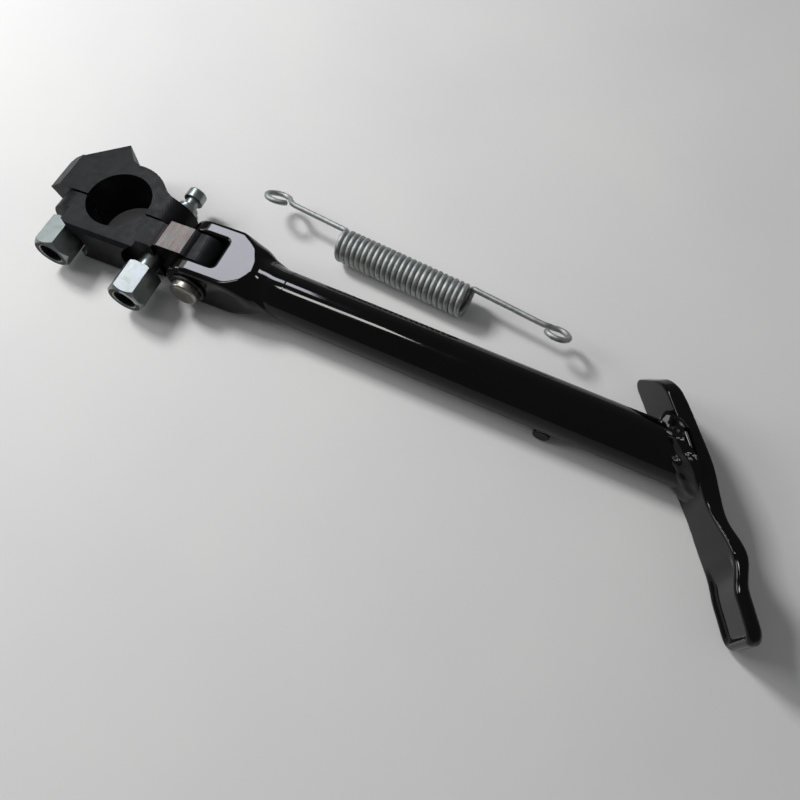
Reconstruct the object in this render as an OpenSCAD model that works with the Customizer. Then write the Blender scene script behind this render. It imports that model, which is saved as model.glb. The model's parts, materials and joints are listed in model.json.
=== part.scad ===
// Motorcycle side stand that bolts round a frame tube, with its return spring lying loose beside it.
// X runs along the leg from the clamp to the foot, Y across the leg towards the clamp's cap,
// and Z along the frame tube. The origin is on the frame tube's axis, halfway through the clamp.

/* [Clamp] */
// Diameter of the frame tube that the clamp grips
frame_tube_d = 28.58; // [28.5:0.02:28.7]
// Thickness of the clamp along the frame tube
clamp_t = 22; // [21.5:0.5:22.5]
// Width of the saw cut between the cap and the body
clamp_gap = 1; // [0.8:0.1:1.2]
// Distance from the tube's axis down to the middle of the saw cut
gap_drop = 2.7; // [2.5:0.1:2.9]
// Distance from the tube's axis to the left stud
left_stud_x = 19.7; // [19.7:0.1:19.9]
// Distance from the tube's axis to the right stud
right_stud_x = 22.5; // [22.3:0.1:22.7]
// Diameter of both clamping studs
stud_d = 9.52; // [9.3:0.02:9.52]

/* [Nuts] */
// Width of a nut across its flats
nut_flats = 15; // [14:0.5:15]
// Length of a nut
nut_length = 15.5; // [15:0.5:16]
// Turn of the left nut about its stud, in degrees
left_nut_turn = 5; // [-30:1:30]
// Turn of the right nut about its stud, in degrees
right_nut_turn = -10; // [-30:1:30]

/* [Pivot] */
// Distance from the tube's axis to the leg's pivot
pivot_x = 44; // [44:0.1:44.4]
// Width of the clamp's tongue
tongue_w = 13.6; // [13.2:0.1:13.8]
// Width of the window in the fork
window_w = 14.6; // [14.6:0.1:15]
// Overall width of the fork
fork_w = 28.5; // [28:0.5:29]
// Diameter of the pivot bolt's shoulder
pivot_d = 9.52; // [9.5:0.01:9.54]
// Radial clearance between the shoulder and its bush
pivot_clearance = 0.05; // [0.02:0.01:0.1]

/* [Leg] */
// Outer diameter of the leg tube
leg_d = 22; // [21.5:0.5:22]
// Wall of the leg tube
leg_wall = 2.5; // [2:0.5:3]
// Angle that the leg tube swings across the fork, in degrees
leg_yaw = 2.6; // [2.4:0.1:2.8]

/* [Foot] */
// Thickness of the foot plate where the leg joins it
foot_t = 7.4; // [7.2:0.1:7.4]
// Angle of the foot plate's outward face from the X axis, in degrees
foot_face_angle = 30; // [29:0.5:31]

/* [Spring] */
// Diameter of the spring's wire
wire_d = 2.4; // [2.2:0.1:2.4]
// Outer diameter of the spring's coil
coil_d = 15; // [14.5:0.5:15]
// Number of turns in the coil
coil_turns = 24; // [20:1:24]
// Length of the coil
coil_length = 61; // [60.5:0.5:62]

/* [Hidden] */
$fn = 64;

half_t = clamp_t / 2;
ground_z = -half_t;
bore_r = frame_tube_d / 2;
stud_r = stud_d / 2;
stud_clearance = 0.24;
cap_bottom = -gap_drop + clamp_gap / 2;
body_top = -gap_drop - clamp_gap / 2;
// The cap: its bevelled left end, the centre of its rounded right end, its wall round the bore, and
// the flat tops of its two ears, the right one faced off round the spring post
cap_left_x = -36;
cap_right_x = 19;
cap_wall_r = 20.3;
cap_left_ear_y = 15.6;
cap_ear_y = 9.7;
post_face_r = 6.3;
// The body: centre of its rounded left end, its front face and the floors of the two nut seats
body_left_x = -18;
body_front_y = -21;
body_edge = 1.6;
left_seat_y = -11.7;
left_seat_r = 11.2;
right_seat_y = -16.3;
right_seat_r = 11.7;
// The tongue: its middle, where it starts behind its groove, and its knuckle round the pivot
tongue_y = -8.1;
tongue_x = 27;
groove_x = 25.3;
groove_depth = 0.8;
knuckle_r = 9.8;
heel_reach = 10;
heel_z = -5;
bush_r = 6.5;
// The fork: its middle, the far wall of its window and where the leg tube starts
fork_y = -8.15;
window_x = 54.5;
fork_block_x = 69;
pivot_r = pivot_d / 2;
pivot_thread_r = 3.95;
washer_t = 1.3;
leg_r = leg_d / 2;
leg_root = [90, -11.3];
neck_start = -4;
spigot_r = leg_r - leg_wall - 0.05;
spigot_length = 14;
leg_length = 200;
// The foot plate, along its own axis s from a point on the leg and out along its face
foot_origin = [250, -12];
foot_inner = -1.6;
// The anchor pin: place along the leg, depth below the leg's axis, and how far each end stands out
anchor_x = 113;
anchor_z = -7.2;
anchor_r = 3.5;
anchor_near = 10.6;
anchor_far = 13;
// The spring where it lies: start of the coil's axis and its yaw
wire_r = wire_d / 2;
coil_r = coil_d / 2 - wire_r;
coil_start = [93.6, 25.2, ground_z + coil_d / 2];
coil_yaw = -6.6;
coil_phase = 35.8;
rings_per_turn = 12;
wire_sides = 8;
// Each eye: how far its centre is from the coil, how much its arm strays sideways for each
// millimetre, its radius, and the direction it leans in
left_arm = 37.3;
left_stray = 0.03;
left_eye_r = 5.5;
left_lean = [0, 0.82, -0.57];
right_arm = 40.6;
right_stray = -0.045;
right_eye_r = 4.9;
right_lean = [0, 0.82, -0.57];
right_offset = [0, -1, 0];

// Points of an arc in a plane
function arc(centre, r, from, to, steps) =
    [for (i = [0:steps]) let (a = from + (to - from) * i / steps) centre + r * [cos(a), sin(a)]];

function unit(v) = v / norm(v);

// The part of v that is square to the direction t, as a unit vector
function square_to(v, t) = unit(v - (v * t) * t);

// A round wire swept along points, without twist
module wire(points, r, sides) {
    last = len(points) - 1;
    t = [for (i = [0:last]) unit(points[min(i + 1, last)] - points[max(i - 1, 0)])];
    first = square_to([0.1, 0.3, 1], t[0]);
    n = [for (i = 0, v = first; i <= last; i = i + 1, v = i <= last ? square_to(v, t[i]) : v) v];
    rings = [for (i = [0:last]) for (k = [0:sides - 1])
        let (a = 360 * k / sides) points[i] + r * (cos(a) * n[i] + sin(a) * cross(t[i], n[i]))];
    sides_faces = [for (i = [0:last - 1]) for (k = [0:sides - 1])
        let (m = (k + 1) % sides) [i * sides + k, (i + 1) * sides + k, (i + 1) * sides + m, i * sides + m]];
    start_face = [for (k = [0:sides - 1]) k];
    end_face = [for (k = [0:sides - 1]) last * sides + sides - 1 - k];
    polyhedron(rings, concat(sides_faces, [start_face, end_face]));
}

// Extrudes an outline drawn in X and Z along Y, from y0 to y1
module across(y0, y1) {
    translate([0, y1, 0]) rotate([90, 0, 0]) linear_extrude(y1 - y0) children();
}

// A cylinder along -Y from y_start
module rod(x, y_start, length, r) {
    translate([x, y_start, 0]) rotate([90, 0, 0]) cylinder(h = length, r = r);
}

// Places something drawn along +Z so that it runs along the leg tube from its root
module along_leg() {
    translate([leg_root[0], leg_root[1], 0]) rotate([0, 0, -leg_yaw]) rotate([0, 90, 0]) children();
}

// Places something drawn with s along X and the outward direction along Y on the foot plate
module on_foot() {
    translate([foot_origin[0], foot_origin[1], 0]) rotate([0, 0, foot_face_angle - 90]) children();
}

module clamp_cap() {
    far_right = cap_right_x + half_t;
    outline = concat(
        [[cap_left_x, cap_bottom], [far_right, cap_bottom], [far_right, cap_ear_y], [23.5, cap_ear_y], [20.2, 10.2]],
        arc([0, 0], cap_wall_r, 37, 97, 12),
        [[-6.2, 21.9], [-9.6, 25.6], [-12.1, 28.9], [-28, 16], [-33.2, cap_left_ear_y], [cap_left_x, 13.4]]);
    // Seen along Y: a steep bevel above and a slant below at the left, a half circle at the right
    side = [[-28.8, half_t], [cap_left_x, 6], [-30.2, -8.5], [-28.2, ground_z], [cap_right_x, ground_z], [cap_right_x, half_t]];
    color("dimgray") difference() {
        intersection() {
            translate([0, 0, -half_t]) linear_extrude(clamp_t) polygon(outline);
            across(cap_bottom - 1, 30) union() {
                polygon(side);
                translate([cap_right_x, 0]) circle(r = half_t);
            }
        }
        cylinder(h = clamp_t + 2, r = bore_r, center = true);
        translate([-bore_r, cap_bottom - 1, -half_t - 1]) cube([2 * bore_r, 1 - cap_bottom, clamp_t + 2]);
        rod(-left_stud_x, 14, 20, stud_r);
        rod(right_stud_x, cap_ear_y + 1, 20, stud_r + stud_clearance);
        rod(right_stud_x, cap_ear_y + 20, 20, post_face_r);
    }
}

module clamp_body() {
    far_left = body_left_x - half_t;
    tongue_top = tongue_y + tongue_w / 2;
    tongue_bottom = tongue_y - tongue_w / 2;
    heel_x = pivot_x + heel_reach;
    outline = [[far_left, body_top], [far_left, left_seat_y], [-17.9, left_seat_y], [-17.9, -18], [-12.9, body_front_y],
        [groove_x, body_front_y], [groove_x, tongue_bottom], [heel_x, tongue_bottom], [heel_x, tongue_top],
        [tongue_x, tongue_top], [tongue_x, body_top]];
    side = [[body_left_x, ground_z], [heel_x, ground_z], [heel_x, heel_z], [pivot_x, heel_z], [pivot_x, knuckle_r],
        [pivot_x - 2.8, 9.6], [pivot_x - 5.5, half_t], [body_left_x, half_t]];
    color("dimgray") difference() {
        intersection() {
            translate([0, 0, -half_t]) linear_extrude(clamp_t) polygon(outline);
            across(-25, 2) union() {
                translate([body_left_x, 0]) circle(r = half_t);
                polygon(side);
                translate([pivot_x, 0]) circle(r = knuckle_r);
            }
        }
        cylinder(h = clamp_t + 2, r = bore_r, center = true);
        // Room for the rounded end of the cap beside the tongue
        rod(cap_right_x, body_top + 4, 4, half_t + 0.4);
        // Groove between the blacked body and the bare tongue, with a bevel on the body's side
        across(body_front_y - 1, 0)
            polygon([[groove_x - groove_depth - 1, half_t + 1], [groove_x, half_t - groove_depth],
                [tongue_x, half_t - groove_depth], [tongue_x, half_t + 1]]);
        // Broken edges along the front face
        for (s = [-1, 1])
            translate([0, body_front_y, s * half_t]) rotate([45, 0, 0])
                cube([80, body_edge * sqrt(2), body_edge * sqrt(2)], center = true);
        rod(-left_stud_x, left_seat_y, 20, left_seat_r);
        rod(right_stud_x, right_seat_y, 20, right_seat_r);
        rod(-left_stud_x, 0, 20, stud_r + stud_clearance);
        rod(right_stud_x, 0, 20, stud_r + stud_clearance);
        rod(pivot_x, 0, 20, bush_r);
    }
}

// Plain stud screwed into the cap, with a nut on its free end
module clamp_stud() {
    color("silver") rod(-left_stud_x, 14, 36, stud_r);
}

// Long bolt through both halves, whose turned head is the post that the spring hooks on
module spring_post_bolt() {
    // Radius and place along Y of each step of the head
    steps = [[6, 9.7], [6, 12.3], [4.6, 12.3], [4.6, 14.6], [2.9, 15.2], [2.9, 18.6], [4.35, 18.6], [4.35, 23.2], [3.7, 23.8]];
    profile = concat([[0, -31], [stud_r - 0.8, -31], [stud_r, -30.2], [stud_r, 9.7]], steps, [[0, 23.8]]);
    color("silver") translate([right_stud_x, 0, 0]) rotate([-90, 0, 0]) rotate_extrude() polygon(profile);
}

// Long hexagon nut with a chamfered end, standing on y along -Y
module sleeve_nut(x, y, turn) {
    corner_r = nut_flats / sqrt(3);
    // The chamfers run past the corners, so that they only cut the hexagon's ends
    past = 0.5;
    end = [[0, 0], [corner_r - 0.7, 0], [corner_r + past, 0.7 + past], [corner_r + past, nut_length - 1.6 - past],
        [corner_r - 1.6, nut_length], [0, nut_length]];
    color("silver") translate([x, y, 0]) rotate([90, 0, 0]) difference() {
        intersection() {
            rotate([0, 0, turn]) cylinder(h = nut_length, r = corner_r, $fn = 6);
            rotate_extrude() polygon(end);
        }
        translate([0, 0, -1]) cylinder(h = nut_length + 2, r = stud_r);
        translate([0, 0, nut_length - 0.8]) cylinder(h = 1, r1 = stud_r - 0.3, r2 = stud_r + 0.7);
    }
}

module sleeve_nut_left() {
    sleeve_nut(-left_stud_x, left_seat_y - 3.4, left_nut_turn);
}

module sleeve_nut_right() {
    sleeve_nut(right_stud_x, right_seat_y - 6.9, right_nut_turn);
}

// Bush pressed into the tongue, in which the pivot bolt turns
module pivot_bush() {
    color("goldenrod") difference() {
        rod(pivot_x, tongue_y + tongue_w / 2, tongue_w, bush_r);
        rod(pivot_x, 0, 20, pivot_r + pivot_clearance);
    }
}

// Forged fork: two ears round the pivot, a window for the tongue and a neck down to the tube
module leg_fork() {
    top_y = fork_y + fork_w / 2;
    bottom_y = fork_y - fork_w / 2;
    ear_x = pivot_x - half_t;
    outline = [[ear_x, bottom_y], [66, bottom_y], [fork_block_x, -20], [fork_block_x, 2], [64, top_y], [ear_x, top_y]];
    // Radius of the neck at each distance from the tube's root
    neck = [[0, -32], [16, -32], [15, -25], [13.9, -21], [12, -17], [10.9, -13.5], [10.5, -10], [10.7, -7],
        [leg_r, neck_start], [spigot_r, neck_start], [spigot_r, neck_start + spigot_length], [0, neck_start + spigot_length]];
    color("black") difference() {
        union() {
            intersection() {
                translate([0, 0, -half_t]) linear_extrude(clamp_t) polygon(outline);
                across(bottom_y - 1, top_y + 1) union() {
                    translate([pivot_x, 0]) circle(r = half_t);
                    translate([pivot_x, -half_t]) square([fork_block_x - pivot_x, clamp_t]);
                }
            }
            intersection() {
                along_leg() rotate_extrude() polygon(neck);
                translate([window_x + 4, bottom_y, -half_t]) cube([60, fork_w, clamp_t]);
            }
        }
        translate([ear_x - 1, tongue_y - window_w / 2, -half_t - 1]) cube([window_x - ear_x + 1, window_w, clamp_t + 2]);
        // Shoulder side of the pivot hole, and the threaded side
        rod(pivot_x, tongue_y, 20, pivot_r + pivot_clearance);
        rod(pivot_x, top_y + 1, 20, pivot_thread_r);
    }
}

// Straight tube, cut off at the angle of the foot plate
module leg_tube() {
    color("black") difference() {
        along_leg() difference() {
            translate([0, 0, neck_start]) cylinder(h = leg_length, r = leg_r);
            translate([0, 0, neck_start - 1]) cylinder(h = leg_length + 2, r = leg_r - leg_wall);
        }
        anchor_place(leg_d, leg_d);
        on_foot() translate([-60, foot_inner, -30]) cube([140, 60, 60]);
    }
}

// Bent strip on edge, thicker where the leg joins it and bent back at its far end
module foot_plate() {
    // At each distance s along the strip: how far out its inner face is, and its thickness
    strip = [[-36, foot_inner - 1.4, 6.4], [-24, foot_inner - 0.7, 7], [-12, foot_inner, foot_t], [26, foot_inner, foot_t],
        [35, -1, 6.6], [45, -0.2, 5.8], [51, -0.4, 5.5], [58, -1.9, 5.4], [66, -2.2, 5.4], [77, -2.4, 5.4]];
    inner_line = [for (p = strip) [p[0], p[1]]];
    outer_line = [for (i = [len(strip) - 1:-1:0]) [strip[i][0], strip[i][1] + strip[i][2]]];
    edge = concat([[-34, ground_z]], [[15, ground_z], [29, -9], [41, ground_z]],
        arc([71, ground_z + 5], 5, -90, 0, 6), arc([71, 10], 5, 0, 90, 6),
        [[48, 15], [29, 11], [15, 12.5]], arc([-19, 8.5], 4, 90, 150, 4));
    color("black") on_foot() intersection() {
        translate([0, 0, -20]) linear_extrude(40) polygon(concat(inner_line, outer_line));
        translate([0, 20, 0]) rotate([90, 0, 0]) linear_extrude(40) polygon(edge);
    }
}

// Bead of weld round the end of the tube, on the plate's inner face
module foot_weld() {
    bead = 3.2;
    color("black") difference() {
        intersection() {
            along_leg() translate([0, 0, 120]) cylinder(h = 80, r = leg_r + bead);
            on_foot() translate([-60, foot_inner - bead, ground_z]) cube([140, bead, 40]);
        }
        along_leg() cylinder(h = leg_length, r = leg_r);
    }
}

// Pin driven through the leg below its axis; the spring's far eye hooks over its longer end
module spring_anchor() {
    color("black") anchor_place(anchor_near, anchor_far);
}

// A rod across the leg, reaching the given distances from the leg's axis on the near and far sides
module anchor_place(near, far) {
    translate([leg_root[0], leg_root[1], 0]) rotate([0, 0, -leg_yaw])
        translate([anchor_x, far, anchor_z]) rotate([90, 0, 0]) cylinder(h = near + far, r = anchor_r);
}

// Shoulder bolt: domed head, shoulder through the near ear and the bush, thread in the far ear
module pivot_bolt() {
    top_y = fork_y + fork_w / 2;
    under_head = fork_y - fork_w / 2 - washer_t;
    profile = [[0, under_head - 3.8], [5.4, under_head - 3.8], [6.35, under_head - 3], [6.35, under_head],
        [pivot_r, under_head], [pivot_r, -1], [pivot_thread_r, -1], [pivot_thread_r, top_y - 0.2], [0, top_y - 0.2]];
    color("silver") translate([pivot_x, 0, 0]) rotate([-90, 0, 0]) rotate_extrude() polygon(profile);
}

module pivot_washer() {
    y = fork_y - fork_w / 2;
    color("black") difference() {
        rod(pivot_x, y, washer_t, 7.75);
        rod(pivot_x, y + 1, 5, pivot_r + pivot_clearance);
    }
}

// Extension spring: an eye on an arm at each end of a close coil, swept as one wire
module return_spring() {
    ready = 26;
    on_coil = function (x, a) [x, coil_r * cos(a), coil_r * sin(a)];
    arm_start = on_coil(0, coil_phase);
    // The arms' middle lines, a distance x beyond each end of the coil
    on_left = function (x) arm_start + x * [-1, left_stray, 0];
    on_right = function (x) arm_start + [coil_length, 0, 0] + x * [1, right_stray, 0];
    left_c = on_left(left_arm);
    left_eye = [for (a = [325:-25:50]) left_c + left_eye_r * ([cos(a), 0, 0] + sin(a) * left_lean)];
    left_neck = [on_left(left_arm - left_eye_r - 0.6) + 1.3 * left_lean, on_left(left_arm - left_eye_r - 3.5),
        on_left(2.6), on_coil(-1.2, coil_phase + 3), on_coil(-0.3, coil_phase + 12)];
    coil_steps = coil_turns * rings_per_turn;
    sweep = coil_turns * 360 - 2 * ready;
    coil = [for (i = [0:coil_steps]) on_coil(coil_length * i / coil_steps, coil_phase + ready + sweep * i / coil_steps)];
    right_c = on_right(right_arm) + right_offset;
    right_neck = [on_coil(coil_length + 0.3, coil_phase - 12), on_coil(coil_length + 1.2, coil_phase - 3),
        on_right(2.6), on_right(right_arm - right_eye_r - 3.5), on_right(right_arm - right_eye_r - 0.6) + 0.6 * right_lean];
    right_eye = [for (a = [125:-25:-150]) right_c + right_eye_r * ([cos(a), 0, 0] + sin(a) * right_lean)];
    color("lightslategray") translate(coil_start) rotate([0, 0, coil_yaw])
        wire(concat(left_eye, left_neck, coil, right_neck, right_eye), wire_r, wire_sides);
}

clamp_cap();
clamp_body();
clamp_stud();
spring_post_bolt();
sleeve_nut_left();
sleeve_nut_right();
pivot_bush();
leg_fork();
leg_tube();
foot_plate();
foot_weld();
spring_anchor();
pivot_bolt();
pivot_washer();
return_spring();
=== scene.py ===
import json
import math

import bmesh
import bpy
import numpy as np
from mathutils import Matrix, Vector


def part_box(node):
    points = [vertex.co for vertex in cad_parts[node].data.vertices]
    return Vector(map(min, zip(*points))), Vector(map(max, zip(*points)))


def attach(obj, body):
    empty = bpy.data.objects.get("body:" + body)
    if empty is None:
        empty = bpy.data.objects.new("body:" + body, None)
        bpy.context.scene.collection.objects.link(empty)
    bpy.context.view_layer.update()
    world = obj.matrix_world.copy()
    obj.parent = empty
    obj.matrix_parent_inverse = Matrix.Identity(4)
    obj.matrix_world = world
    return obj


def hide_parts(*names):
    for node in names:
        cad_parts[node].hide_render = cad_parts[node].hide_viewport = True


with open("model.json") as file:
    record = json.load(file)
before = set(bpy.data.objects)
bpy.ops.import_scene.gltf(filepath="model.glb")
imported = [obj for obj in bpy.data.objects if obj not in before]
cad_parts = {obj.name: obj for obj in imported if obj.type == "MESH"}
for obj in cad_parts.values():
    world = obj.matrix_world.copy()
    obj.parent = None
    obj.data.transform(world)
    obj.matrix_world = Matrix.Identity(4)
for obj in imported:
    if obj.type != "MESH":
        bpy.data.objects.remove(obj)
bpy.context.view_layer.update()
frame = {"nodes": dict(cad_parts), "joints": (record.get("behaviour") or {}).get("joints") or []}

# Lengths are worked out in millimetres and scaled to metres when a mesh is made.
MM = 0.001


def box_mm(node):
    low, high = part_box(node)
    return np.array(low) / MM, np.array(high) / MM


# ---------------------------------------------------------------- dimensions

HALF_T = box_mm("clamp_body")[1][2]
GROUND_Z = -HALF_T
HINGE = next(j for j in frame["joints"] if j["name"] == "leg_hinge")
PIVOT_X, TONGUE_Y, _ = np.array(HINGE["pos_m"]) / MM
FORK_LOW, FORK_HIGH = box_mm("leg_fork")
BUSH_LOW, BUSH_HIGH = box_mm("pivot_bush")
FOOT_TOP = box_mm("foot_plate")[1][2]

FORK_MID_Y = (FORK_LOW[1] + FORK_HIGH[1]) / 2
FORK_HALF_W = (FORK_HIGH[1] - FORK_LOW[1]) / 2
WINDOW_HALF_W = (BUSH_HIGH[1] - BUSH_LOW[1]) / 2 + 0.5
WINDOW_END_X = PIVOT_X + 10.5
LEG_R = HALF_T
# Faces nearer a nut's middle line than this are in its bore
THREAD_R = 4.9 * MM
LEG_YAW = math.radians(-2.6)
LEG_ROOT = np.array([90.0, -11.3, 0.0])
LEG_AXIS = np.array([math.cos(LEG_YAW), math.sin(LEG_YAW), 0.0])
LEG_START = -4.0
FOOT_FACE_ANGLE = math.radians(30)
FOOT_ORIGIN = np.array([250.0, -12.0, 0.0])
FOOT_S = np.array([math.sin(FOOT_FACE_ANGLE), -math.cos(FOOT_FACE_ANGLE), 0.0])
FOOT_N = np.array([math.cos(FOOT_FACE_ANGLE), math.sin(FOOT_FACE_ANGLE), 0.0])
FOOT_INNER = -1.6


# ---------------------------------------------------------------- materials

def material(name, **settings):
    """A node material whose Principled shader has the given settings; returns it with its tree and shader."""
    mat = bpy.data.materials.new(name)
    mat.use_nodes = True
    shader = mat.node_tree.nodes["Principled BSDF"]
    for key, value in settings.items():
        shader.inputs[key.replace("_", " ")].default_value = value
    return mat, mat.node_tree, shader


def coords(tree, stretch=(1, 1, 1), shift=(0, 0, 0)):
    """The object's own coordinates, stretched and shifted."""
    source = tree.nodes.new("ShaderNodeTexCoord")
    mapping = tree.nodes.new("ShaderNodeMapping")
    mapping.inputs["Location"].default_value = shift
    mapping.inputs["Scale"].default_value = stretch
    tree.links.new(source.outputs["Object"], mapping.inputs["Vector"])
    return mapping.outputs["Vector"]


def noise(tree, size_mm, detail=3.0, stretch=(1, 1, 1), distortion=0.0):
    """Noise whose features are about size_mm across."""
    node = tree.nodes.new("ShaderNodeTexNoise")
    node.inputs["Scale"].default_value = 1 / (size_mm * MM)
    node.inputs["Detail"].default_value = detail
    node.inputs["Distortion"].default_value = distortion
    tree.links.new(coords(tree, stretch), node.inputs["Vector"])
    return node.outputs["Fac"]


def rings(tree, spacing_mm, centre_mm, axis, distortion=0.0):
    """Rings about an axis through centre_mm."""
    node = tree.nodes.new("ShaderNodeTexWave")
    node.wave_type = "RINGS"
    node.rings_direction = axis
    node.inputs["Scale"].default_value = math.tau / (20 * spacing_mm * MM)
    node.inputs["Distortion"].default_value = distortion
    node.inputs["Detail"].default_value = 2
    node.inputs["Detail Scale"].default_value = 1.5
    shift = tuple(-c * MM for c in centre_mm)
    tree.links.new(coords(tree, shift=shift), node.inputs["Vector"])
    return node.outputs["Fac"]


def spread(tree, value, low, high, start=0.3, end=0.7):
    """A value from start to end mapped to low to high."""
    node = tree.nodes.new("ShaderNodeMapRange")
    node.inputs["From Min"].default_value = start
    node.inputs["From Max"].default_value = end
    node.inputs["To Min"].default_value = low
    node.inputs["To Max"].default_value = high
    tree.links.new(value, node.inputs["Value"])
    return node.outputs["Result"]


def tint(tree, value, colours):
    """A colour ramp with evenly spaced colours."""
    node = tree.nodes.new("ShaderNodeValToRGB")
    ramp = node.color_ramp
    ramp.elements[0].position = 0.3
    ramp.elements[0].color = (*colours[0], 1)
    ramp.elements[1].position = 0.7
    ramp.elements[1].color = (*colours[-1], 1)
    for i, colour in enumerate(colours[1:-1], 1):
        stop = ramp.elements.new(0.3 + 0.4 * i / (len(colours) - 1))
        stop.color = (*colour, 1)
    tree.links.new(value, node.inputs["Fac"])
    return node.outputs["Color"]


def bump(tree, shader, heights):
    """Bumps from (value, strength, height in mm), one after another."""
    normal = None
    for value, strength, height in heights:
        node = tree.nodes.new("ShaderNodeBump")
        node.inputs["Strength"].default_value = strength
        node.inputs["Distance"].default_value = height * MM
        tree.links.new(value, node.inputs["Height"])
        if normal:
            tree.links.new(normal, node.inputs["Normal"])
        normal = node.outputs["Normal"]
    tree.links.new(normal, shader.inputs["Normal"])


def black_oxide():
    mat, tree, shader = material("black_oxide", Specular_IOR_Level=0.13)
    clouds = noise(tree, 7, 4)
    colours = [(0.0030, 0.0033, 0.0042), (0.0050, 0.0055, 0.0068), (0.009, 0.0095, 0.0115)]
    tree.links.new(tint(tree, clouds, colours), shader.inputs["Base Color"])
    tree.links.new(spread(tree, noise(tree, 3, 3), 0.34, 0.48), shader.inputs["Roughness"])
    arcs = rings(tree, 1.1, (-9, -12, 0), "Z", 2.0)
    bump(tree, shader, [(arcs, 0.30, 0.05), (noise(tree, 0.35, 2), 0.2, 0.02)])
    return mat


def bare_steel():
    mat, tree, shader = material("bare_steel", Metallic=1.0)
    streaks = noise(tree, 0.5, 4, stretch=(1, 0.06, 1))
    colours = [(0.165, 0.135, 0.130), (0.185, 0.165, 0.155), (0.150, 0.160, 0.148)]
    tree.links.new(tint(tree, noise(tree, 2.5, 3), colours), shader.inputs["Base Color"])
    tree.links.new(spread(tree, streaks, 0.50, 0.66), shader.inputs["Roughness"])
    bump(tree, shader, [(streaks, 0.4, 0.03)])
    return mat


def zinc():
    mat, tree, shader = material("bright_zinc", Metallic=1.0)
    colours = [(0.21, 0.25, 0.235), (0.27, 0.295, 0.285), (0.28, 0.305, 0.33)]
    tree.links.new(tint(tree, noise(tree, 4, 3, distortion=0.6), colours), shader.inputs["Base Color"])
    tree.links.new(spread(tree, noise(tree, 1.6, 4), 0.30, 0.42), shader.inputs["Roughness"])
    bump(tree, shader, [(noise(tree, 2.2, 3), 0.35, 0.06), (noise(tree, 0.4, 2), 0.08, 0.01)])
    return mat


def galvanised():
    mat, tree, shader = material("galvanised_wire", Metallic=0.9)
    colours = [(0.28, 0.31, 0.30), (0.38, 0.40, 0.39), (0.48, 0.50, 0.48)]
    tree.links.new(tint(tree, noise(tree, 2.2, 4), colours), shader.inputs["Base Color"])
    tree.links.new(spread(tree, noise(tree, 0.8, 3), 0.46, 0.60), shader.inputs["Roughness"])
    bump(tree, shader, [(noise(tree, 0.5, 3), 0.3, 0.03)])
    return mat


def enamel():
    mat, tree, shader = material("black_enamel", IOR=1.34)
    colours = [(0.0008, 0.0008, 0.0010), (0.0016, 0.0016, 0.0018)]
    tree.links.new(tint(tree, noise(tree, 30, 2), colours), shader.inputs["Base Color"])
    tree.links.new(spread(tree, noise(tree, 12, 3), 0.045, 0.10), shader.inputs["Roughness"])
    bump(tree, shader, [(noise(tree, 5, 2), 0.10, 0.03), (noise(tree, 1.2, 1), 0.05, 0.01)])
    return mat


def turned_steel():
    mat, tree, shader = material("turned_steel", Metallic=1.0)
    colours = [(0.24, 0.23, 0.21), (0.36, 0.35, 0.32)]
    tree.links.new(tint(tree, noise(tree, 3, 3), colours), shader.inputs["Base Color"])
    tree.links.new(spread(tree, noise(tree, 1.0, 3), 0.26, 0.42), shader.inputs["Roughness"])
    lathe_rings = rings(tree, 0.5, (PIVOT_X, 0, 0), "Y")
    bump(tree, shader, [(lathe_rings, 0.4, 0.02), (noise(tree, 0.4, 2), 0.2, 0.01)])
    return mat


# Painted shade: a near-black material for the insides of the nut bores, with thread rings as bumps
def painted_hole_shade():
    mat, tree, shader = material("painted_hole_shade", Metallic=0.2)
    colours = [(0.004, 0.004, 0.004), (0.010, 0.009, 0.008)]
    tree.links.new(tint(tree, noise(tree, 1.5, 2), colours), shader.inputs["Base Color"])
    tree.links.new(spread(tree, noise(tree, 0.6, 2), 0.5, 0.7), shader.inputs["Roughness"])
    bump(tree, shader, [(rings(tree, 0.55, (0, 0, 0), "Y"), 0.3, 0.05)])
    return mat


def washer_black():
    mat, tree, shader = material("washer_black", Metallic=0.3)
    colours = [(0.008, 0.008, 0.009), (0.02, 0.02, 0.022)]
    tree.links.new(tint(tree, noise(tree, 2, 3), colours), shader.inputs["Base Color"])
    tree.links.new(spread(tree, noise(tree, 1, 3), 0.25, 0.40), shader.inputs["Roughness"])
    bump(tree, shader, [(noise(tree, 0.6, 2), 0.2, 0.02)])
    return mat


def bronze():
    mat, tree, shader = material("bronze", Metallic=1.0)
    colours = [(0.50, 0.34, 0.17), (0.62, 0.44, 0.24)]
    tree.links.new(tint(tree, noise(tree, 1.5, 3), colours), shader.inputs["Base Color"])
    tree.links.new(spread(tree, noise(tree, 0.5, 3), 0.30, 0.45), shader.inputs["Roughness"])
    bump(tree, shader, [(noise(tree, 0.3, 2), 0.3, 0.02)])
    return mat


def paper():
    mat, tree, shader = material("paper", Roughness=0.75)
    colours = [(0.76, 0.76, 0.77), (0.80, 0.80, 0.80)]
    tree.links.new(tint(tree, noise(tree, 90, 3), colours), shader.inputs["Base Color"])
    bump(tree, shader, [(noise(tree, 30, 3), 0.15, 0.4)])
    return mat


BLACK_OXIDE = black_oxide()
BARE_STEEL = bare_steel()
ZINC = zinc()
GALVANISED = galvanised()
ENAMEL = enamel()
TURNED_STEEL = turned_steel()
PAINTED_HOLE_SHADE = painted_hole_shade()
WASHER_BLACK = washer_black()
BRONZE = bronze()


# ---------------------------------------------------------------- mesh tools

def add_mesh(name, points_mm, faces, *materials):
    """A smooth mesh object from points in millimetres."""
    mesh = bpy.data.meshes.new(name)
    places = [tuple(p) for p in np.asarray(points_mm) * MM]
    mesh.from_pydata(places, [], [tuple(int(i) for i in f) for f in faces])
    mesh.validate()
    for polygon in mesh.polygons:
        polygon.use_smooth = True
    for mat in materials:
        mesh.materials.append(mat)
    obj = bpy.data.objects.new(name, mesh)
    bpy.context.scene.collection.objects.link(obj)
    return obj


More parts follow.
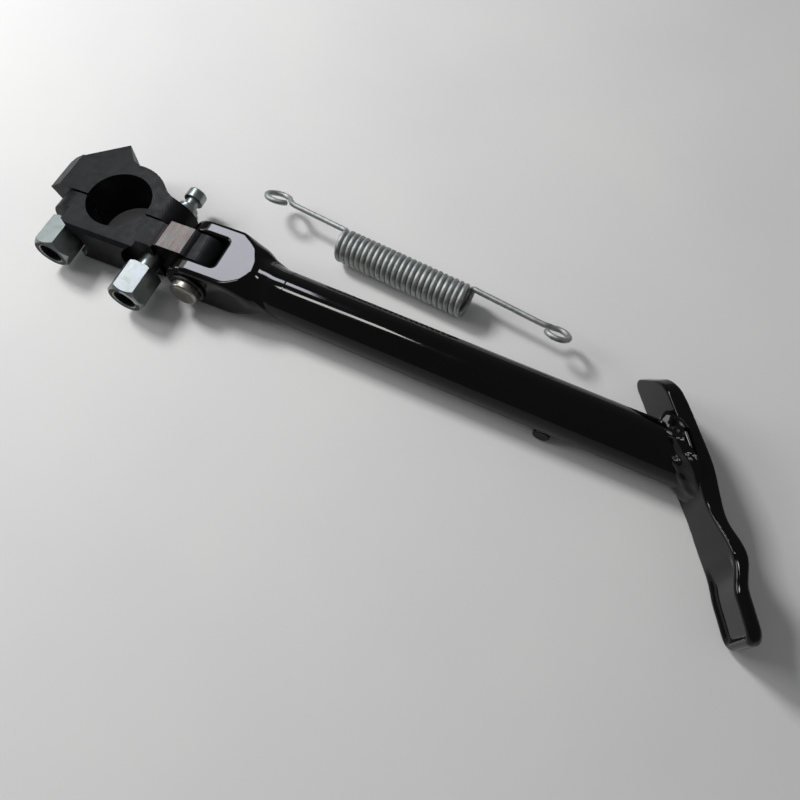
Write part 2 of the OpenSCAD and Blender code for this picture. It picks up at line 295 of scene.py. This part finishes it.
def stand_for(obj, node, body):
    """The piece takes a CAD node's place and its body."""
    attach(obj, body)
    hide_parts(node)
    return obj


def round_max(a, b, r):
    """Where two fields meet, their corner is rounded to r."""
    return np.minimum(np.maximum(a, b), -r) + np.hypot(np.maximum(a + r, 0), np.maximum(b + r, 0))


def smooth_step(x, start, end):
    t = np.clip((x - start) / (end - start), 0, 1)
    return t * t * (3 - 2 * t)


def through(x, stations):
    """A smooth curve through (place, value) pairs, level at its ends."""
    places, values = np.array(stations, float).T
    slopes = np.gradient(values, places)
    slopes[0] = slopes[-1] = 0
    x = np.clip(x, places[0], places[-1])
    i = np.clip(np.searchsorted(places, x, side="right") - 1, 0, len(places) - 2)
    width = places[i + 1] - places[i]
    t = (x - places[i]) / width
    return ((1 + 2 * t) * (1 - t) ** 2 * values[i] + t * (1 - t) ** 2 * width * slopes[i]
            + t * t * (3 - 2 * t) * values[i + 1] + t * t * (t - 1) * width * slopes[i + 1])


def carve(field, low, high, step, settle=4):
    """Points and quads of the surface where field(x, y, z) is zero, one point in each cell it crosses."""
    low, high = np.array(low, float), np.array(high, float)
    count = np.ceil((high - low) / step).astype(int) + 1
    places = [low[i] + step * np.arange(count[i]) for i in range(3)]
    values = field(*np.meshgrid(*places, indexing="ij"))
    inside = values < 0
    cells = count - 1
    total = np.zeros((*cells, 3))
    hits = np.zeros(cells)
    edges = []
    for axis in range(3):
        near = [slice(None)] * 3
        far = [slice(None)] * 3
        near[axis], far[axis] = slice(0, -1), slice(1, None)
        a, b = values[tuple(near)], values[tuple(far)]
        crossed = inside[tuple(near)] != inside[tuple(far)]
        part = np.where(crossed, a / np.where(crossed, a - b, 1), 0)
        starts = [places[i][:-1] if i == axis else places[i] for i in range(3)]
        point = np.stack(np.meshgrid(*starts, indexing="ij"), -1)
        point[..., axis] += part * step
        u, v = [i for i in range(3) if i != axis]
        for du in (0, 1):
            for dv in (0, 1):
                cut = [slice(None)] * 3
                cut[u], cut[v] = slice(du, du + cells[u]), slice(dv, dv + cells[v])
                total += np.where(crossed[tuple(cut)][..., None], point[tuple(cut)], 0)
                hits += crossed[tuple(cut)]
        edges.append((axis, u, v, crossed, inside[tuple(near)]))
    used = hits > 0
    index = np.full(cells, -1)
    index[used] = np.arange(used.sum())
    points = total[used] / hits[used][:, None]
    quads = []
    for axis, u, v, crossed, starts_inside in edges:
        at = np.argwhere(crossed)
        at = at[(at[:, u] > 0) & (at[:, u] < cells[u]) & (at[:, v] > 0) & (at[:, v] < cells[v])]
        corners = []
        for du, dv in ((1, 1), (0, 1), (0, 0), (1, 0)):
            cell = at.copy()
            cell[:, u] -= du
            cell[:, v] -= dv
            corners.append(index[tuple(cell.T)])
        quad = np.stack(corners, -1)
        flip = starts_inside[tuple(at.T)] != (axis != 1)
        quad[flip] = quad[flip][:, ::-1]
        quads.append(quad)
    small = step * 0.05
    for _ in range(settle):
        here = field(*points.T)
        slope = np.stack([(field(*(points + small * e).T) - field(*(points - small * e).T)) / (2 * small)
                          for e in np.eye(3)], -1)
        move = here[:, None] * slope / np.maximum((slope ** 2).sum(1), 0.05)[:, None]
        points = points - np.clip(move, -step / 2, step / 2)
    return points, np.concatenate(quads)


def refined(node, body, slot, bevel_mm, *materials):
    """A copy of a CAD node with its flat faces joined up and its sharp edges rounded over."""
    mesh = frame["nodes"][node].data.copy()
    mesh.name = node + "_fine"
    bm = bmesh.new()
    bm.from_mesh(mesh)
    bmesh.ops.remove_doubles(bm, verts=bm.verts, dist=0.002 * MM)
    bmesh.ops.dissolve_limit(bm, angle_limit=math.radians(0.5), verts=bm.verts, edges=bm.edges)
    bmesh.ops.recalc_face_normals(bm, faces=bm.faces)
    for face in bm.faces:
        face.smooth = True
    bm.to_mesh(mesh)
    bm.free()
    mesh.materials.clear()
    for mat in materials:
        mesh.materials.append(mat)
    obj = bpy.data.objects.new(node + "_fine", mesh)
    bpy.context.scene.collection.objects.link(obj)
    edge = obj.modifiers.new("edge", "BEVEL")
    edge.width = bevel_mm * MM
    edge.segments = 2
    edge.limit_method = "ANGLE"
    edge.angle_limit = math.radians(28)
    edge.use_clamp_overlap = True
    obj.modifiers.new("shade", "WEIGHTED_NORMAL").keep_sharp = False
    return stand_for(obj, node, body)


def rod_faces(rings_count, sides):
    """The faces that join rings of points into a closed rod, with a flat face at each end."""
    grid = np.arange(rings_count * sides).reshape(rings_count, sides)
    a, b = grid[:-1], grid[1:]
    quads = np.stack([a, np.roll(a, -1, 1), np.roll(b, -1, 1), b], -1).reshape(-1, 4)
    return [*quads, grid[0][::-1], grid[-1]]


def wire(points, radius, sides):
    """(points, faces) of a round wire swept along points without twist, with rounded ends."""
    points = np.asarray(points, float)
    tangent = np.gradient(points, axis=0)
    tangent /= np.linalg.norm(tangent, axis=1)[:, None]
    side = np.array([0.1, 0.3, 1.0])
    turns = np.arange(sides) * math.tau / sides
    ring_points = []
    for p, t in zip(points, tangent):
        side = side - side @ t * t
        side /= np.linalg.norm(side)
        other = np.cross(t, side)
        ring_points.append(p + radius * (np.cos(turns)[:, None] * side + np.sin(turns)[:, None] * other))
    # A smaller ring beyond each end rounds the cut wire
    for end, sign in ((0, -1), (-1, 1)):
        centre = points[end]
        small = centre + 0.7 * (ring_points[end] - centre) + sign * 0.25 * radius * tangent[end]
        ring_points = [small] + ring_points if end == 0 else ring_points + [small]
    return np.concatenate(ring_points), rod_faces(len(ring_points), sides)


# ---------------------------------------------------------------- pieces

def clamp_pieces():
    refined("clamp_cap", "clamp", "black_oxide", 0.3, BLACK_OXIDE)
    body = refined("clamp_body", "clamp", "black_oxide", 0.25, BLACK_OXIDE, BARE_STEEL)
    # The tongue's top was cut bare after blacking; the bevel of its groove gets bare steel as a painted
    # highlight along that edge
    tongue_top_x = (26.9, PIVOT_X - 5)
    groove_x = (23, 26)
    for polygon in body.data.polygons:
        x, _, z = polygon.center / MM
        on_top = polygon.normal.z > 0.9 and z > HALF_T - 0.1 and tongue_top_x[0] < x < tongue_top_x[1]
        groove_painted_highlight = polygon.normal.x > 0.3 and z > HALF_T - 1 and groove_x[0] < x < groove_x[1]
        if on_top or groove_painted_highlight:
            polygon.material_index = 1
    bevels = {"sleeve_nut_left": 0.3, "sleeve_nut_right": 0.3, "clamp_stud": 0.4, "spring_post_bolt": 0.3}
    for node, bevel_mm in bevels.items():
        nut_holes(refined(node, "clamp", "bright_zinc", bevel_mm, ZINC, PAINTED_HOLE_SHADE))
    frame["nodes"]["pivot_bush"].data.materials.clear()
    frame["nodes"]["pivot_bush"].data.materials.append(BRONZE)


def nut_holes(obj):
    """The threaded holes of the nuts, and the stud ends deep inside them, are painted near-black as the shade
    inside the bores.
    """
    low, high = np.array(obj.bound_box).min(0), np.array(obj.bound_box).max(0)
    centre = (low + high) / 2
    for polygon in obj.data.polygons:
        arm = Vector((polygon.center.x - centre[0], 0, polygon.center.z - centre[2]))
        in_bore = arm.length < THREAD_R and arm.dot(polygon.normal) < -0.2 * arm.length
        stud_end = polygon.normal.y < -0.9 and polygon.center.y < low[1] + MM and arm.length < THREAD_R
        if in_bore or stud_end:
            polygon.material_index = 1


def pivot_pieces():
    refined("pivot_bolt", "leg", "plain_steel", 0.5, TURNED_STEEL)
    refined("pivot_washer", "leg", "black_washer", 0.3, WASHER_BLACK)


def fork_field(x, y, z):
    """The forged fork: a slab with round ears, a neck that turns into the tube, a window and a pivot hole."""
    ears = np.where(x < PIVOT_X, np.hypot(x - PIVOT_X, z) - HALF_T, np.abs(z) - HALF_T)
    sides = np.abs(y - FORK_MID_Y) - FORK_HALF_W
    block = round_max(ears, sides, 2.0)
    # Outside the slab's flat top, which ends in an uneven point, its height falls away
    flat_corners = [(58.5, 5.6), (62.4, 3.2), (66.3, -0.3), (69.3, -6.0), (70.2, -12.0), (67.4, -17.1),
                    (61.0, -21.8)]
    slope = 0.62
    beyond = -1e3
    for (x0, y0), (x1, y1) in zip(flat_corners, flat_corners[1:]):
        length = math.hypot(x1 - x0, y1 - y0)
        beyond = np.maximum(beyond, ((x - x0) * (y0 - y1) + (y - y0) * (x1 - x0)) / length)
    falling = (np.abs(z) - HALF_T + slope * np.maximum(beyond, 0)) * 0.85
    offset = through(x, [(56, 1.17), (64, 1.0), (70, 1.1), (76, 0.7), (82, 0)])
    centre = LEG_ROOT[1] + (x - LEG_ROOT[0]) * math.tan(LEG_YAW) + offset
    width = through(x, [(52, 23), (58, 18.5), (64, 16.4), (70, 14.8), (75, 12.4), (79, 11.3), (83, LEG_R)])
    height = through(x, [(52, 26), (58, 18.5), (64, 15.2), (70, 12.5), (76, 11.2), (82, LEG_R)])
    shoulders = (np.hypot((y - centre) / width, z / height) - 1) * np.minimum(width, height)
    head = round_max(round_max(block, shoulders, 0.9), falling, 0.4)
    neck_width = through(x, [(58, 8.5), (66, 10.0), (73, 10.8), (79, LEG_R)])
    neck_height = through(x, [(58, 8.0), (66, 9.6), (73, 10.5), (78, 10.75), (82, 10.95), (86, LEG_R)])
    neck = (np.hypot((y - centre) / neck_width, z / neck_height) - 1) * np.minimum(neck_width, neck_height)
    neck_from_x = 60
    solid = -round_max(-head, -np.maximum(neck, neck_from_x - x), 1.6)
    solid = np.maximum(solid, np.abs(z) - HALF_T)
    solid = np.maximum(solid, x - (LEG_ROOT[0] + LEG_START + 0.2))
    window = round_max(np.abs(y - TONGUE_Y) - WINDOW_HALF_W, x - WINDOW_END_X, 1.6)
    solid = round_max(solid, -window, 1.3)
    threaded_r, shoulder_r = 4.0, 4.85
    hole_r = np.where(y > TONGUE_Y, threaded_r, shoulder_r)
    return round_max(solid, hole_r - np.hypot(x - PIVOT_X, z), 0.4)


def leg_fork():
    margin = 1.0
    points, quads = carve(fork_field, FORK_LOW - margin, FORK_HIGH + [margin, margin, margin], 0.5)
    obj = add_mesh("leg_fork_fine", points, quads, ENAMEL)
    return stand_for(obj, "leg_fork", "leg")


def leg_tube():
    """The tube's lines run from the fork to the foot plate's slanting inner face."""
    sides, steps = 128, 24
    turns = np.arange(sides) * math.tau / sides
    across = np.cross([0, 0, 1], LEG_AXIS)
    rim = LEG_R * (np.cos(turns)[:, None] * across + np.sin(turns)[:, None] * np.array([0, 0, 1.0]))
    start = LEG_ROOT + LEG_START * LEG_AXIS + rim
    to_plate = ((FOOT_ORIGIN + (FOOT_INNER - 0.02) * FOOT_N - start) @ FOOT_N) / (LEG_AXIS @ FOOT_N)
    end = start + to_plate[:, None] * LEG_AXIS
    lines = np.stack([start + (end - start) * i / steps for i in range(steps + 1)])
    obj = add_mesh("leg_tube_fine", lines.reshape(-1, 3), rod_faces(steps + 1, sides), ENAMEL)
    mark_sharp(obj, 50)
    return stand_for(obj, "leg_tube", "leg")


def mark_sharp(obj, degrees):
    """Edges that turn more than the given angle are shaded as edges."""
    bm = bmesh.new()
    bm.from_mesh(obj.data)
    for edge in bm.edges:
        edge.smooth = len(edge.link_faces) < 2 or edge.calc_face_angle() < math.radians(degrees)
    bm.to_mesh(obj.data)
    bm.free()


def foot_field(s, n, z):
    """The plate on edge: s along it, n outward and z up; its far end is a dished tang that leans."""
    inner = through(s, [(-36, FOOT_INNER - 2.7), (-24, FOOT_INNER - 2.0), (-12, FOOT_INNER - 1.2),
                        (2, FOOT_INNER - 0.6), (18, FOOT_INNER), (26, FOOT_INNER),
                        (36, -0.8), (44, -0.1), (50, -0.2), (54, -1.0), (58, -1.9), (65, -2.2), (77, -2.4)])
    thick = through(s, [(-36, 4.4), (-24, 5.2), (-12, 6.0), (2, 6.4), (16, 6.8), (26, 6.3), (36, 4.6),
                        (45, 5.0), (52, 5.3), (77, 5.3)])
    middle = inner + thick / 2 - 0.09 * smooth_step(s, 48, 60) * z
    top = through(s, [(-34, 9.5), (-24, 11.6), (-14, 12.5), (14, 12.5), (29, 11), (47, 15), (77, 15)])
    top = np.minimum(top, FOOT_TOP)
    bottom = through(s, [(-20, GROUND_Z), (14, GROUND_Z), (29, -9), (42, GROUND_Z), (77, GROUND_Z)])
    bottom = np.maximum(bottom, GROUND_Z)
    band = np.maximum(z - top, bottom - z)
    slant = math.radians(29)
    near_s, far_s, corner_r = -32.7, 76, 5.5
    near_end = (near_s - s) * math.cos(slant) + (z - GROUND_Z) * math.sin(slant)
    outline = round_max(round_max(band, near_end, corner_r), s - far_s, corner_r)
    dish_depth = 1.5
    dish = dish_depth * smooth_step(-outline, 1.8, 4.4) * smooth_step(s, 46, 54) * (n < middle)
    edge_r = 0.9 + 1.3 * smooth_step(s, 44, 56)
    return round_max(np.abs(n - middle) - thick / 2 + dish, outline, edge_r)


def from_foot(points):
    """Points given along the plate, outward and up, in the part's frame."""
    s, n, z = np.asarray(points).T
    return FOOT_ORIGIN + s[:, None] * FOOT_S + n[:, None] * FOOT_N + z[:, None] * np.array([0, 0, 1.0])


def foot_plate():
    points, quads = carve(foot_field, (-37, -8, GROUND_Z - 1), (78, 9, FOOT_TOP + 1), 0.5)
    obj = add_mesh("foot_plate_fine", from_foot(points), quads[:, ::-1], ENAMEL)
    return stand_for(obj, "foot_plate", "leg")


def weld_field(s, n, z):
    """A fillet between the tube and the plate, built up in ripples and lumps, rougher above than below."""
    place = FOOT_ORIGIN + s[..., None] * FOOT_S + n[..., None] * FOOT_N + z[..., None] * np.array([0, 0, 1.0])
    arm = place - LEG_ROOT
    along = arm @ LEG_AXIS
    off_axis = arm - along[..., None] * LEG_AXIS
    tube = np.linalg.norm(off_axis, axis=-1) - LEG_R
    plate = FOOT_INNER - n
    turn = np.arctan2(off_axis[..., 2], off_axis[..., 1])
    height = off_axis[..., 2]
    rough = 0.06 + 1.1 * smooth_step(height, -2, 7)
    spread_up = 2.4 * smooth_step(height, 2, 9)
    ripple = 0.55 * np.sin(9 * turn + 0.8) + 0.30 * np.sin(14 * turn + 0.7 * tube + 2)
    lumps = 0.55 * np.sin(6 * turn + 1.1 * plate)
    fillet_leg = 3.3 + spread_up + rough * (ripple + lumps)
    fillet = (tube + plate - fillet_leg) / math.sqrt(2)
    bite = 0.7
    inner = np.maximum(-(tube + bite), -(plate + bite))
    tube_reach, plate_reach = 5.0, 6.6
    outer = np.maximum(tube - tube_reach, plate - plate_reach)
    return round_max(round_max(fillet, outer, 0.5), inner, 0.3)


def foot_weld():
    points, quads = carve(weld_field, (-10, -8, GROUND_Z - 3), (28, 1, 15), 0.4)
    points[:, 2] = np.maximum(points[:, 2], GROUND_Z)
    obj = add_mesh("foot_weld_fine", from_foot(points), quads[:, ::-1], ENAMEL)
    return stand_for(obj, "foot_weld", "leg")


def spring_line():
    """The wire's middle line: eye, arm, coil, arm, eye."""
    wire_r = 1.23
    coil_d, coil_turns, coil_length = 15.0, 24, 61.0
    coil_r = coil_d / 2 - wire_r
    phase = math.radians(35.8)
    ready = math.radians(26)
    left_arm, left_stray, left_r = 37.3, 0.03, 5.5
    right_arm, right_stray, right_r = 40.6, -0.045, 4.9
    lean = np.array([0, 0.82, -0.57])

    def on_coil(x, a):
        return np.array([x, coil_r * math.cos(a), coil_r * math.sin(a)])

    def on_left(x):
        return on_coil(0, phase) + x * np.array([-1, left_stray, 0])

    def on_right(x):
        return on_coil(coil_length, phase) + x * np.array([1, right_stray, 0])

    def eye(centre, r, degrees):
        angles = np.radians(degrees)
        return [centre + r * (np.array([math.cos(a), 0, 0]) + math.sin(a) * lean) for a in angles]

    left_eye = eye(on_left(left_arm), left_r, np.arange(338, 45, -8))
    left_neck = [on_left(left_arm - left_r - 0.6) + 1.3 * lean, on_left(left_arm - left_r - 3.5),
                 on_left(14), on_left(2.6), on_coil(-1.2, phase + 0.05), on_coil(-0.3, phase + 0.21)]
    steps = coil_turns * 36
    sweep = coil_turns * math.tau - 2 * ready
    coil = [on_coil(coil_length * i / steps, phase + ready + sweep * i / steps) for i in range(steps + 1)]
    right_neck = [on_coil(coil_length + 0.3, phase - 0.21), on_coil(coil_length + 1.2, phase - 0.05),
                  on_right(2.6), on_right(14), on_right(right_arm - right_r - 3.5),
                  on_right(right_arm - right_r - 0.6) + 0.6 * lean]
    right_eye = eye(on_right(right_arm) - [0, 1, 0], right_r, np.arange(125, -158, -8))
    line = np.array([*left_eye, *smoothed(left_neck), *coil, *smoothed(right_neck), *right_eye])
    coil_start = [93.6, 25.2, GROUND_Z + coil_d / 2]
    yaw = math.radians(-6.6)
    turn = np.array([[math.cos(yaw), -math.sin(yaw), 0], [math.sin(yaw), math.cos(yaw), 0], [0, 0, 1]])
    return line @ turn.T + coil_start, wire_r


def smoothed(points, parts=4):
    """A Catmull-Rom curve through the points."""
    p = np.array([points[0], *points, points[-1]], float)
    out = []
    for i in range(1, len(p) - 2):
        for t in np.arange(parts) / parts:
            out.append(0.5 * (2 * p[i] + (p[i + 1] - p[i - 1]) * t
                              + (2 * p[i - 1] - 5 * p[i] + 4 * p[i + 1] - p[i + 2]) * t ** 2
                              + (3 * p[i] - p[i - 1] - 3 * p[i + 1] + p[i + 2]) * t ** 3))
    return [*out, p[-2]]


def return_spring():
    line, wire_r = spring_line()
    points, faces = wire(line, wire_r, 14)
    obj = add_mesh("return_spring_fine", points, faces, GALVANISED)
    mark_sharp(obj, 50)
    return stand_for(obj, "return_spring", "spring")


clamp_pieces()
pivot_pieces()
leg_fork()
leg_tube()
foot_plate()
foot_weld()
return_spring()
refined("spring_anchor", "leg", "black_enamel", 0.6, ENAMEL)


# ---------------------------------------------------------------- stage, light and camera

def floor():
    mesh = bpy.data.meshes.new("floor")
    half = 3.0
    z = (GROUND_Z - 0.05) * MM
    corners = [(-half, -half, z), (half, -half, z), (half, half, z), (-half, half, z)]
    mesh.from_pydata(corners, [], [(0, 1, 2, 3)])
    mesh.materials.append(paper())
    obj = bpy.data.objects.new("floor", mesh)
    bpy.context.scene.collection.objects.link(obj)


def panel(name, direction, distance, size, radiance, colour, along=(1, 0, 0)):
    """A flat light seen from the object in the given direction, its long side along the given one."""
    away = Vector(direction).normalized()
    light = bpy.data.lights.new(name, "AREA")
    light.shape = "RECTANGLE"
    light.size, light.size_y = size
    light.energy = math.pi * size[0] * size[1] * radiance
    light.color = colour
    obj = bpy.data.objects.new(name, light)
    side = (Vector(along) - Vector(along).dot(away) * away).normalized()
    up = away.cross(side)
    facing = Matrix((side, up, away)).transposed().to_4x4()
    obj.matrix_world = Matrix.Translation(AIM + away * distance) @ facing
    bpy.context.scene.collection.objects.link(obj)
    return obj


AIM = Vector((0.09, -0.01, 0.0))


def lights():
    # The window, the lamp and the glow show only in reflections. The key casts the shadows and never does.
    window = panel("window", (-0.43, 0.46, 0.78), 1.3, (0.32, 0.27), 18, (0.90, 0.90, 1.0))
    lamp = panel("strip", (-0.30, 0.04, 0.955), 1.6, (0.46, 0.19), 22, (1.0, 0.99, 0.96),
                 along=(0.23, 0.15, 0.065))
    glow = panel("glow", (-0.655, 0.31, 0.69), 1.0, (0.30, 0.30), 3.2, (0.94, 1.0, 0.99))
    for light in (window, lamp, glow):
        light.visible_diffuse = False
    key = panel("key", (-0.70, 0.24, 0.67), 1.0, (0.22, 0.22), 47, (1.0, 0.995, 0.98))
    key.visible_glossy = False
    panel("fill", (-0.85, -0.10, 0.50), 1.0, (0.40, 0.40), 6.5, (1.0, 0.995, 0.98))
    world = bpy.data.worlds.new("room")
    world.use_nodes = True
    background = world.node_tree.nodes["Background"]
    background.inputs["Color"].default_value = (0.98, 0.985, 1.0, 1)
    background.inputs["Strength"].default_value = 0.17
    bpy.context.scene.world = world


def camera():
    right = Vector((0.9225, 0.3860, 0.0029)).normalized()
    ahead = Vector((-0.1645, 0.4000, -0.9016)).normalized()
    up = right.cross(ahead).normalized()
    data = bpy.data.cameras.new("camera")
    data.sensor_width = 36
    data.lens = 31.5
    data.clip_start = 0.01
    obj = bpy.data.objects.new("camera", data)
    obj.matrix_world = (Matrix.Translation((0.19181, -0.14601, 0.24631))
                        @ Matrix((right, up, -ahead)).transposed().to_4x4())
    bpy.context.scene.collection.objects.link(obj)
    bpy.context.scene.camera = obj


floor()
lights()
camera()
bpy.context.scene.view_settings.view_transform = "Standard"
